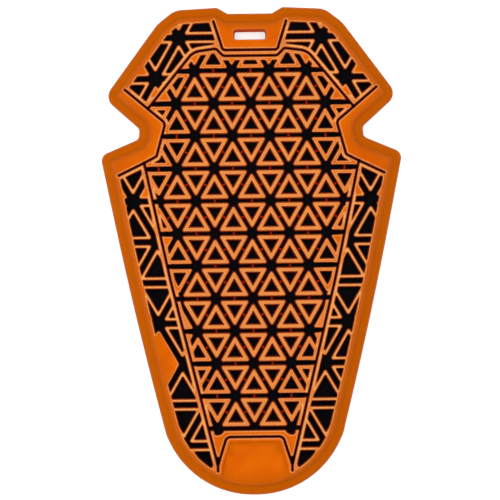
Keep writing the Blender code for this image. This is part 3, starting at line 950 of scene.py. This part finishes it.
@dataclass(frozen=True)
class MouldedFoam:
    """Soft polyurethane foam, cast in a closed mould.

    The mould gives it a matt skin with a fine grain. Its colour carries painted highlights on the rounded
    edges and painted shade on the outer band, at the plate's recess step and down the channel walls.
    """

    colour: str = "EC6C06"
    shade: str = "DE5E04"
    painted_highlight: str = "FFBE72"
    band_shade_colour: str = "BE5A00"
    # Painted shade on the walls of the deep channels and on the webs: they get only light that the foam
    # round them has reddened
    deep_shade: str = "A82408"
    roughness: float = 0.68
    # How far the grain takes the roughness up and down
    swing: float = 0.07
    # Open pores in the skin swallow most of its gloss
    gloss: float = 0.1
    # The pigment lies in the skin, so it tints what the skin reflects
    tint: str = "FF9A40"
    # Real grain is about 0.2 mm and too fine to show, so it is drawn at 0.9 mm
    grain: float = 0.0009
    # Blotches left by the mould's release wax
    blotch: float = 0.014

    def material(self) -> Material:
        """Builds the foam's shader.

        Returns:
            The finished material.
        """
        material, tree, shader = shaded("moulded_foam")
        place = add(tree, "ShaderNodeTexCoord").outputs["Object"]
        blotch, grain = (
            add(tree, "ShaderNodeTexNoise", named={"Vector": place, "Scale": 1.0 / size, "Detail": detail})
            for size, detail in ((self.blotch, 3.0), (self.grain, 2.0))
        )
        highlight, band_shade_mask, wall_shade = (
            add(tree, "ShaderNodeAttribute", attribute_name=name).outputs["Fac"]
            for name in ("edge_highlight", "band_shade", "channel_shade")
        )
        spread = add(tree, "ShaderNodeMapRange", blotch, 0.35, 0.7, 0.0, 1.0)
        uneven = add(tree, "ShaderNodeMapRange", grain, 0.3, 0.7, 0.55, 1.0)
        painted_highlight = add(tree, "ShaderNodeMath", highlight, uneven, operation="MULTIPLY")
        colour = mix(tree, spread, self.colour, self.shade)
        # Painted shade on the outer band and at the plate's recess step
        colour = mix(tree, band_shade_mask, colour, self.band_shade_colour)
        # Painted highlight on the rounded edges, broken up by the grain
        colour = mix(tree, painted_highlight, colour, self.painted_highlight)
        # Painted shade down the channel walls and on the webs
        colour = mix(tree, wall_shade, colour, self.deep_shade)
        tree.links.new(colour, shader.inputs["Base Color"])
        low, high = self.roughness - self.swing, self.roughness + self.swing
        rough = add(tree, "ShaderNodeMapRange", grain, 0.2, 0.8, low, high)
        tree.links.new(rough.outputs[0], shader.inputs["Roughness"])
        bump = add(tree, "ShaderNodeBump", named={"Strength": 0.25, "Distance": 0.0002, "Height": grain})
        tree.links.new(bump.outputs[0], shader.inputs["Normal"])
        shader.inputs["IOR"].default_value = 1.48
        shader.inputs["Specular Tint"].default_value = linear(self.tint)
        shader.inputs["Specular IOR Level"].default_value = self.gloss
        return material


@dataclass(frozen=True)
class BackingCloth:
    """Black polyester knit, laminated to the foam's back. It gives almost no light back."""

    colour: str = "030306"
    thread: str = "0A0A10"
    roughness: float = 0.95
    # Fuzzy yarn has no smooth face that shines
    gloss: float = 0.1
    # Real loops are 0.4 mm apart and too fine to show, so they are drawn at 1 mm
    loop: float = 0.0010

    def material(self) -> Material:
        """Builds the cloth's shader.

        Returns:
            The finished material.
        """
        material, tree, shader = shaded("backing_knit")
        place = add(tree, "ShaderNodeTexCoord").outputs["Object"]
        named = {"Vector": place, "Scale": math.pi / (10.0 * self.loop)}
        waves = [add(tree, "ShaderNodeTexWave", named=named, bands_direction=axis) for axis in "XY"]
        knit = add(tree, "ShaderNodeMath", *(wave.outputs["Fac"] for wave in waves), operation="MULTIPLY")
        tree.links.new(mix(tree, knit, self.colour, self.thread), shader.inputs["Base Color"])
        bump = add(tree, "ShaderNodeBump", named={"Strength": 0.5, "Distance": 0.0002, "Height": knit})
        tree.links.new(bump.outputs[0], shader.inputs["Normal"])
        shader.inputs["Roughness"].default_value = self.roughness
        shader.inputs["Specular IOR Level"].default_value = self.gloss
        return material


@dataclass
class FoamMoulding:
    """The rim with all that is fused to it, and the panel's border with its clipped rings."""

    plan: InsertPlan
    contours: Contours
    section: Section
    material: Material
    least_gap: float = 2.0e-6
    least_side_gap: float = 7.0e-6
    grid: float = 0.006
    # Points this far out on a leaning wall are its foot, as a share of its draft
    foot_share: float = 0.9
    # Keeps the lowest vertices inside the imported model's box
    floor_gap: float = 1.0e-6
    # The painted highlight is strongest this deep in the rounded edge, and ends this far from there, in
    # edge radii
    highlight_depth: float = 0.35
    highlight_reach: float = 0.9
    # Painted shade on the walls: how much at a wall's top, and the share of that which is left on the
    # slot's lit walls
    top_shade: float = 0.26
    slot_shade: float = 0.3
    filled: list[tuple[Array, float]] = field(default_factory=list)
    kept: list[Loop] = field(default_factory=list)

    def triangulate(self) -> Triangulation:
        """Triangles of the whole moulding without its whole rings.

        Returns:
            Triangles between the contours of its edges, its rim and its recess.
        """
        survey = self.plan.survey(self.contours.points())
        trace = self.contours.trace
        for loop in trace(survey.foam, 0.0):
            self.sort_gap(np.array(loop))
        loops = []
        for loop in trace(survey.foam, self.plan.draft, self.least_gap / 4.0):
            middle = np.mean(loop, axis=0)
            if all(np.hypot(*(middle - centre)) > reach for centre, reach in self.filled):
                loops.append(loop)
        lines = []
        for depth in self.section.edge_levels:
            lines += trace(survey.foam, -depth, self.least_gap)
        lip = self.section.lip_width
        for depth in (*self.section.depths[1:], lip, lip + self.section.lip_step):
            lines += trace(survey.edge, -depth)
        recess = np.maximum(survey.recess, survey.foam)
        for share in (0.0, 0.5, 1.0):
            lines += trace(recess, -share * self.section.recess_slope, self.least_gap)
        loose = self.contours.coarse(self.grid)
        loose = loose[self.plan.survey(loose).foam < -self.grid / 4.0]
        return Triangulation(loops, lines, loose)

    def sort_gap(self, loop: Array) -> None:
        """Keeps a loop of the foam's edge, or marks a gap as too small for the mould.

        Args:
            loop: Points of the loop.
        """
        middle = loop.mean(axis=0)
        in_panel = loop_distance(middle[None, :], self.plan.panel_loop)[0] < 0.0
        if abs(loop_area(loop)) < (self.least_gap if in_panel else self.least_side_gap):
            self.filled.append((middle, float(np.hypot(*(loop - middle).T).max())))
        else:
            self.kept.append([tuple(point) for point in loop])

    def without_filled(self, points: Array, survey: Survey) -> Survey:
        """Distances at plan points once the gaps that are too small are filled.

        Args:
            points: Rows of plan points.
            survey: Their distances with every gap.

        Returns:
            The distances with the foam's mended.
        """
        foam = survey.foam.copy()
        around = 2.0 * self.section.edge_radius
        for centre, reach in self.filled:
            near = np.flatnonzero(np.hypot(*(points - centre).T) < reach + around)
            if len(near) == 0:
                continue
            best = np.full(len(near), 2.0 * around)
            for loop in self.kept:
                if np.hypot(*(np.array(loop) - centre).T).min() < reach + 3.0 * around:
                    np.minimum(best, path_distance(points[near], loop), out=best)
            on_foot = foam[near] >= self.plan.draft * self.foot_share
            foam[near] = np.where(on_foot, foam[near], np.minimum(foam[near], -best))
        return survey._replace(foam=foam)

    def piece(self, name: str, triangles: Triangulation, chosen: Array) -> Object:
        """One foam piece.

        Args:
            name: Name of the piece.
            triangles: Triangles of the plan.
            chosen: Which of them belong to the piece.

        Returns:
            The object, with its material and what the material reads.
        """
        points, faces, border = triangles.part(chosen)
        survey = self.without_filled(points, self.plan.survey(points))
        shell = self.plan.crown.height(points)
        top = self.section.rounded_front(survey, self.plan.draft)
        bottom = self.section.underside(survey)
        verts, all_faces, source = extruded(points, faces, border, shell + top, shell + bottom)
        at_slot = survey.slot[source] < self.plan.draft
        below = shell[source] + self.section.full - verts[:, 2]
        verts[:, 1] -= np.where(at_slot, below * self.plan.crown.tab_slope, 0.0)
        verts[:, 2] = np.maximum(verts[:, 2], CAD_BOX[0][2] + self.floor_gap)
        item = smooth_mesh(name, verts, all_faces)
        # Painted highlight along the rounded edges, none on the outer rim or round the slot
        depth = -survey.foam / self.section.edge_radius
        inside_rim = np.clip(-survey.edge / self.section.lip_width - 0.5, 0.0, 1.0)
        off = np.abs(depth - self.highlight_depth) / self.highlight_reach
        highlight = inside_rim * np.clip(1.0 - off, 0.0, 1.0)
        highlight *= np.clip(survey.slot / (2.0 * self.section.edge_radius), 0.0, 1.0)
        # Painted shade down the walls, from their top to their foot, and less on the slot's walls
        down = survey.foam / self.plan.draft
        deep_shade = np.clip(self.top_shade + (1.0 - self.top_shade) * down, 0.0, 1.0) * inside_rim
        deep_shade *= np.clip(survey.slot / self.plan.draft, self.slot_shade, 1.0)
        layers = {"edge_highlight": highlight, "band_shade": self.section.band_shade(survey), "channel_shade": deep_shade}
        for layer, values in layers.items():
            paint(item, layer, np.concatenate([values, np.zeros(len(verts) - len(points))]))
        item.data.materials.append(self.material)
        return item

    def build(self) -> list[Object]:
        """Builds both foam pieces.

        Returns:
            The rim piece and the panel's border piece.
        """
        triangles = self.triangulate()
        centres = triangles.points[triangles.faces].mean(axis=1)
        in_panel = loop_distance(centres, self.plan.panel_loop) < 0.0
        rim = self.piece("rim_foam", triangles, ~in_panel)
        border = self.piece("panel_border_foam", triangles, in_panel)
        dress(rim, "rim_frame")
        dress(border, "centre_panel")
        return [rim, border]


@dataclass
class NodeShape:
    """A Geometry Nodes tree that repeats a shape on points."""

    name: str
    crown: Crown

    def __post_init__(self) -> None:
        """Starts the tree."""
        self.tree = bpy.data.node_groups.new(self.name, "GeometryNodeTree")
        self.values: dict[str, float] = {}
        self.tree.interface.new_socket("Geometry", in_out="INPUT", socket_type="NodeSocketGeometry")
        self.tree.interface.new_socket("Geometry", in_out="OUTPUT", socket_type="NodeSocketGeometry")
        self.source = self.tree.nodes.new("NodeGroupInput")

    def size(self, name: str, value: float) -> NodeSocket:
        """A named input of the tree.

        Args:
            name: Name of the input.
            value: Its value for this object.

        Returns:
            The socket that gives it.
        """
        socket = self.tree.interface.new_socket(name, in_out="INPUT", socket_type="NodeSocketFloat")
        self.values[socket.identifier] = value
        return self.source.outputs[name]

    def math(self, operation: str, *values: object) -> Node:
        """A sum, product or comparison of numbers."""
        return add(self.tree, "ShaderNodeMath", *values, operation=operation)

    def stored(self, shape: Node, name: str, value: Node | float) -> Node:
        """Writes an attribute that the material reads, on each vertex of a shape."""
        named = {"Name": name, "Value": value}
        return add(self.tree, "GeometryNodeStoreNamedAttribute", shape, named=named, data_type="FLOAT")

    def finish(self, shape: Node) -> None:
        """Puts the shape on every point and turns it by the point's own attribute.

        Args:
            shape: Node that gives the shape.
        """
        turn = add(self.tree, "GeometryNodeInputNamedAttribute", "turn", data_type="FLOAT")
        named = {"Instance": shape, "Rotation": add(self.tree, "ShaderNodeCombineXYZ", None, None, turn)}
        points = add(self.tree, "GeometryNodeInstanceOnPoints", self.source, named=named)
        add(self.tree, "NodeGroupOutput", add(self.tree, "GeometryNodeRealizeInstances", points))

    def made(self, name: str, points: Array, turns: Array, material: Material) -> Object:
        """Plain mesh of the tree's result, draped on the crown and dressed as foam of the panel.

        Args:
            name: Name of the piece.
            points: Rows of plan points that each take a shape.
            turns: Turn of each about the vertical, in radians.
            material: Material of the piece.

        Returns:
            The object, with no modifier left.
        """
        mesh = bpy.data.meshes.new(name + "_points")
        mesh.from_pydata([(x, y, 0.0) for x, y in points], [], [])
        item = linked(name, mesh)
        paint(item, "turn", turns)
        modifier = item.modifiers.new(name, "NODES")
        modifier.node_group = self.tree
        for identifier, value in self.values.items():
            modifier[identifier] = value
        graph = bpy.context.evaluated_depsgraph_get()
        solid = bpy.data.meshes.new_from_object(item.evaluated_get(graph))
        item.modifiers.remove(modifier)
        item.data = solid
        solid.name = name
        solid.materials.clear()
        solid.materials.append(material)
        corners = np.array([vertex.co[:] for vertex in solid.vertices])
        corners[:, 2] += self.crown.height(corners)
        solid.vertices.foreach_set("co", corners.ravel())
        solid.calc_loop_triangles()
        triangles = corners[[triangle.vertices[:] for triangle in solid.loop_triangles]]
        if np.linalg.det(triangles).sum() < 0.0:
            solid.flip_normals()
        solid.shade_smooth()
        solid.set_sharp_from_angle(angle=SHARP)
        dress(item, "centre_panel")
        return item


@dataclass
class PanelRings:
    """The whole triangular rings of the centre panel."""

    plan: InsertPlan
    section: Section
    material: Material
    corner_points: int = 6
    clear: float = 0.0004
    draft: float = 0.0008
    # Painted highlight on a ring's rounded edge and, less, on its flat top
    edge_highlight: float = 0.70
    top_highlight: float = 0.45
    # Painted shade that each step up a wall takes away
    fade: float = 0.74

    def places(self) -> tuple[Array, Array, frozenset[int]]:
        """Where a ring lies whole inside the panel's border.

        Returns:
            Centres of the rings, their turns, and the numbers of their cells.
        """
        lattice = self.plan.panel_lattice
        found = []
        side, step = np.divmod(np.arange(12), 4)
        reach = 2.0 * (lattice.inradius - lattice.corner)
        for x, y, up in lattice.cells(self.plan.crown.half_length):
            turn = 0.0 if up else math.pi
            corners = turn + np.radians(90.0 + 120.0 * np.arange(4))
            sharp = (x, y) + reach * np.column_stack([np.cos(corners), np.sin(corners)])
            outline = sharp[side] + (sharp[side + 1] - sharp[side]) * step[:, None] / 4.0
            inner = loop_distance(outline, self.plan.panel_loop) + self.plan.groove / 2.0 + self.plan.rib
            if inner.max() < -lattice.corner - self.clear:
                found.append((x, y, turn))
        points = np.array([spot[:2] for spot in found])
        _, cells = lattice.sides(points)
        return points, np.array([spot[2] for spot in found]), frozenset(cells.tolist())

    def shape(self) -> NodeShape:
        """Lays out one ring as a closed grid: round it, and over its section.

        Returns:
            The tree that makes it.
        """
        lattice = self.plan.panel_lattice
        node = NodeShape("lattice_ring", self.plan.crown)
        math_ = node.math
        edge = node.size("Edge Radius", self.section.edge_radius)
        draft = node.size("Draft", self.draft)
        height = node.size("Height", self.section.full)
        seat = node.size("Seat", self.section.seat)
        arc = [depth / self.section.edge_radius for depth in self.section.edge_levels[:-1]]
        around, levels = 3 * self.corner_points, 2 * (len(arc) + 1)
        index = add(node.tree, "GeometryNodeInputIndex")
        place = math_("MODULO", math_("MODULO", index, around + 1.0), around)
        row = math_("FLOOR", math_("DIVIDE", math_("ADD", index, 0.5), around + 1.0))
        level = math_("MODULO", row, levels)
        outside = math_("LESS_THAN", level, levels / 2 - 0.5)
        mirrored = math_("SUBTRACT", levels - 1.0, level)
        # Step 0 is the foot of a wall, 1 to 3 lead up its rounded edge, and 4 is the rim of its flat top
        step = math_("MINIMUM", level, mirrored)
        at_foot = (math_("MULTIPLY", draft, -1.0), math_("SUBTRACT", height, seat))
        inward, drop = (
            add(node.tree, "GeometryNodeIndexSwitch", step, value, data_type="FLOAT") for value in at_foot
        )
        # A new switch has two items, and it needs one for the foot and one for each step of the arc
        for switch in (inward, drop):
            for _ in range(len(arc) - 1):
                switch.index_switch_items.new()
        for k, share in enumerate(arc):
            fall = 1.0 - math.sqrt(1.0 - (1.0 - share) ** 2)
            node.tree.links.new(math_("MULTIPLY", edge, share).outputs[0], inward.inputs[k + 2])
            node.tree.links.new(math_("MULTIPLY", edge, fall).outputs[0], drop.inputs[k + 2])
        sign = math_("MULTIPLY_ADD", outside, -2.0, 1.0)
        shift = math_("MULTIPLY", inward, sign)
        inner = lattice.inradius - lattice.wall
        outer = node.size("Outer Inradius", lattice.inradius), node.size("Outer Corner", lattice.corner)
        hole = node.size("Hole Inradius", inner), node.size("Hole Corner", lattice.hole_corner)
        inradius, radius = (
            math_("ADD", math_("MULTIPLY_ADD", math_("SUBTRACT", out, into), outside, into), shift)
            for out, into in zip(outer, hole)
        )
        corner = math_("FLOOR", math_("DIVIDE", math_("ADD", place, 0.5), self.corner_points))
        along = math_("SUBTRACT", place, math_("MULTIPLY", corner, self.corner_points))
        fan = math.radians(120.0)
        toward = math_("MULTIPLY_ADD", corner, fan, math.radians(90.0))
        sweep = math_("MULTIPLY_ADD", along, fan / (self.corner_points - 1), -fan / 2.0)
        angle = math_("ADD", toward, sweep)
        reach = math_("MULTIPLY", math_("SUBTRACT", inradius, radius), 2.0)
        x, y = (
            math_("MULTIPLY_ADD", reach, math_(axis, toward), math_("MULTIPLY", radius, math_(axis, angle)))
            for axis in ("COSINE", "SINE")
        )
        spot = add(node.tree, "ShaderNodeCombineXYZ", x, y, math_("SUBTRACT", height, drop))
        grid = add(node.tree, "GeometryNodeMeshGrid", 1.0, 1.0, levels + 1, around + 1)
        ring = add(node.tree, "GeometryNodeSetPosition", grid, named={"Position": spot})
        # Painted highlight on the rounded edges and the top, none at the foot
        on_top = math_("GREATER_THAN", step, len(arc) - 0.5)
        highlight = math_("MULTIPLY_ADD", on_top, self.top_highlight - self.edge_highlight, self.edge_highlight)
        ring = node.stored(ring, "edge_highlight", math_("MULTIPLY", math_("GREATER_THAN", step, 0.5), highlight))
        # Painted shade: full at the foot of each wall, less at each step up
        depth = math_("MAXIMUM", math_("MULTIPLY_ADD", step, -self.fade, 1.0), 0.0)
        ring = node.stored(ring, "channel_shade", depth)
        node.finish(add(node.tree, "GeometryNodeMergeByDistance", ring, named={"Distance": 1.0e-6}))
        return node

    def build(self, points: Array, turns: Array) -> Object:
        """The rings, with their centres on these points."""
        return self.shape().made("panel_rings_foam", points, turns, self.material)


@dataclass
class PanelBridges:
    """Low webs across the panel's channels, at the middle of every side."""

    plan: InsertPlan
    section: Section
    material: Material
    width: float = 0.0012
    height: float = 0.0020
    overlap: float = 0.0008
    rounding: float = 0.35

    def places(self) -> tuple[Array, Array]:
        """Middles of the sides with foam at both ends.

        Returns:
            Plan points, and the turn of the web on each.
        """
        lattice = self.plan.panel_lattice
        cells = [(x, y) for x, y, up in lattice.cells(self.plan.crown.half_length) if up]
        turns = np.tile(np.radians((-90.0, 30.0, 150.0)), len(cells))
        out = np.column_stack([np.cos(turns), np.sin(turns)])
        points = np.repeat(cells, 3, axis=0) + out * lattice.rise / 3.0
        reach = out * (lattice.channel / 2.0 + self.overlap)
        joined = loop_distance(points, self.plan.panel_loop) < -lattice.rise / 3.0
        for end in (points - reach, points + reach):
            joined &= self.plan.survey(end).foam < 0.0
        joined &= self.plan.survey(points).foam > 0.0
        return points[joined], turns[joined]

    def build(self, points: Array, turns: Array) -> Object:
        """The webs at the given places.

        Args:
            points: Middles of the webs.
            turns: Turn of each web.

        Returns:
            The dressed object.
        """
        node = NodeShape("channel_web", self.plan.crown)
        math_ = node.math
        width, height = node.size("Web Width", self.width), node.size("Web Height", self.height)
        length = node.size("Web Length", self.plan.panel_lattice.channel + 2.0 * self.overlap)
        section = add(node.tree, "GeometryNodeCurvePrimitiveQuadrilateral", width, height)
        named = {"Radius": math_("MULTIPLY", width, self.rounding), "Count": 3}
        soft = add(node.tree, "GeometryNodeFilletCurve", section, named=named, mode="POLY")
        half = math_("MULTIPLY", length, 0.5)
        back = math_("MULTIPLY", half, -1.0)
        middle = math_("MULTIPLY_ADD", height, 0.5, node.size("Seat", self.section.seat))
        start = add(node.tree, "ShaderNodeCombineXYZ", back, None, middle)
        end = add(node.tree, "ShaderNodeCombineXYZ", half, None, middle)
        path = add(node.tree, "GeometryNodeCurvePrimitiveLine", start, end)
        web = add(node.tree, "GeometryNodeCurveToMesh", path, soft, named={"Fill Caps": True})
        # The webs take the channels' full painted shade
        node.finish(node.stored(web, "channel_shade", 1.0))
        return node.made("panel_bridges_foam", points, turns, self.material)


@dataclass
class BackingSheet:
    """Black cloth that lies in the rim's lip, under the foam."""

    plan: InsertPlan
    contours: Contours
    section: Section
    material: Material
    clearance: float = 0.0003
    thickness: float = 0.0012
    slot_margin: float = 0.0010
    grid: float = 0.005
    # The dome makes the cloth this much longer than its plan
    curve_across: float = 1.05
    curve_along: float = 1.03

    def build(self) -> Object:
        """Builds the sheet with its hole behind the slot.

        Returns:
            The dressed object.
        """
        inset = self.section.lip_width + self.clearance
        points = self.contours.points()
        loops = self.contours.trace(loop_distance(points, self.plan.edge_loop), -inset)
        loops += self.contours.trace(loop_distance(points, self.plan.slot_loop), self.slot_margin)
        loose = self.contours.coarse(self.grid)
        clear = loop_distance(loose, self.plan.edge_loop) < -inset - self.grid / 2.0
        clear &= loop_distance(loose, self.plan.slot_loop) > self.slot_margin + self.grid / 2.0
        flat = Triangulation(loops, [], loose[clear])
        points, faces, border = flat.part(np.full(len(flat.faces), True))
        shell = self.plan.crown.height(points) + self.clearance
        count = len(points)
        verts = np.vstack([np.column_stack([points, shell + lift]) for lift in (self.thickness, 0.0)])
        all_faces = faces.tolist() + (faces[:, ::-1] + count).tolist()
        directed = {(a, b) for face in faces.tolist() for a, b in zip(face, face[1:] + face[:1])}
        all_faces += [[b, a, a + count, b + count] for a, b in directed if (b, a) not in directed]
        slot = loop_distance(verts[:, :2], self.plan.slot_loop)
        at_slot = np.tile(border, 2) & (slot < 2.0 * self.slot_margin)
        below = np.tile(shell, 2) - self.clearance + self.section.full - verts[:, 2]
        verts[:, 1] -= np.where(at_slot, below * self.plan.crown.tab_slope, 0.0)
        item = smooth_mesh("backing_cloth", verts, all_faces)
        item.data.materials.append(self.material)
        dress(item, "backing_sheet")
        a, b, c = (verts[faces[:, k]] for k in range(3))
        return item


class Lamp(NamedTuple):
    """A soft square light: its place, the length of its side and its power in watts."""

    name: str
    place: tuple[float, float, float]
    size: float
    power: float


@dataclass
class Studio:
    """Light table, soft lights and the camera over the insert."""

    pixel: float = 0.000563
    view_x: float = -0.00144
    view_y: float = 0.00078
    focus: float = 0.008
    distance: float = 6.0
    roll: float = -0.0125
    sensor: float = 36.0
    floor_reach: float = 3.0
    glow: float = 0.55
    ambient: float = 0.35
    lamps: tuple[Lamp, ...] = (
        Lamp("overhead", (0.0, 0.25, 1.5), 0.9, 14.0),
        Lamp("fill", (-0.9, -0.9, 1.2), 1.0, 4.0),
    )

    def floor(self) -> None:
        """Adds the white floor, lit a little from below as a light table is."""
        reach = self.floor_reach
        mesh = bpy.data.meshes.new("floor")
        corners = ((-reach, -reach), (reach, -reach), (reach, reach), (-reach, reach))
        mesh.from_pydata([(*corner, 0.0) for corner in corners], [], [(0, 1, 2, 3)])
        material, _, shader = shaded("light_table")
        shader.inputs["Base Color"].default_value = linear("F2F2F2")
        shader.inputs["Roughness"].default_value = 0.9
        shader.inputs["Emission Color"].default_value = linear("FFFFFF")
        shader.inputs["Emission Strength"].default_value = self.glow
        mesh.materials.append(material)
        linked("floor", mesh)

    def light(self, lamp: Lamp) -> None:
        """Adds a lamp that faces the insert.

        Args:
            lamp: Its row of the table.
        """
        data = bpy.data.lights.new(lamp.name, "AREA")
        data.size = lamp.size
        data.energy = lamp.power
        item = linked(lamp.name, data)
        item.location = lamp.place
        item.rotation_euler = (-Vector(lamp.place)).to_track_quat("-Z", "Y").to_euler()
        item.visible_camera = False

    def build(self) -> None:
        """Adds the floor, the lights, the world and the camera."""
        self.floor()
        for lamp in self.lamps:
            self.light(lamp)
        world = bpy.data.worlds.new("studio")
        world.use_nodes = True
        backdrop = world.node_tree.nodes["Background"]
        backdrop.inputs["Color"].default_value = linear("FFFFFF")
        backdrop.inputs["Strength"].default_value = self.ambient
        scene = bpy.context.scene
        scene.world = world
        scene.view_settings.view_transform = "Standard"
        lens = bpy.data.cameras.new("camera")
        lens.sensor_width = self.sensor
        lens.lens = self.sensor * self.distance / (self.pixel * PHOTO_PIXELS)
        camera = linked("camera", lens)
        camera.location = (self.view_x, self.view_y, self.focus + self.distance)
        camera.rotation_euler = (0.0, 0.0, self.roll)
        scene.camera = camera


def main() -> None:
    """Builds the insert piece by piece."""
    logging.basicConfig(level=logging.INFO, format="%(name)s: %(message)s")
    section = Section()
    crown = Crown(lift=float(CAD_BOX[1][2]) - section.full - TOP_GAP)
    full_plan = InsertPlan(crown)
    foam, cloth = MouldedFoam().material(), BackingCloth().material()
    contours = Contours(crown.half_width + MARGIN, crown.half_length + MARGIN)
    rings = PanelRings(full_plan, section, foam)
    points, turns, cells = rings.places()
    ring_piece = rings.build(points, turns)
    LOG.info("%s: %d rings, %d faces", ring_piece.name, len(points), len(ring_piece.data.polygons))
    bridges = PanelBridges(full_plan, section, foam)
    spots, directions = bridges.places()
    bridge_piece = bridges.build(spots, directions)
    LOG.info("%s: %d webs, %d faces", bridge_piece.name, len(spots), len(bridge_piece.data.polygons))
    plan = InsertPlan(crown, whole_rings=cells)
    for piece in FoamMoulding(plan, contours, section, foam).build():
        LOG.info("%s: %d faces", piece.name, len(piece.data.polygons))
    sheet = BackingSheet(plan, contours, section, cloth).build()
    LOG.info("%s: %d faces", sheet.name, len(sheet.data.polygons))
    Studio().build()


if __name__ == "__main__":
    main()
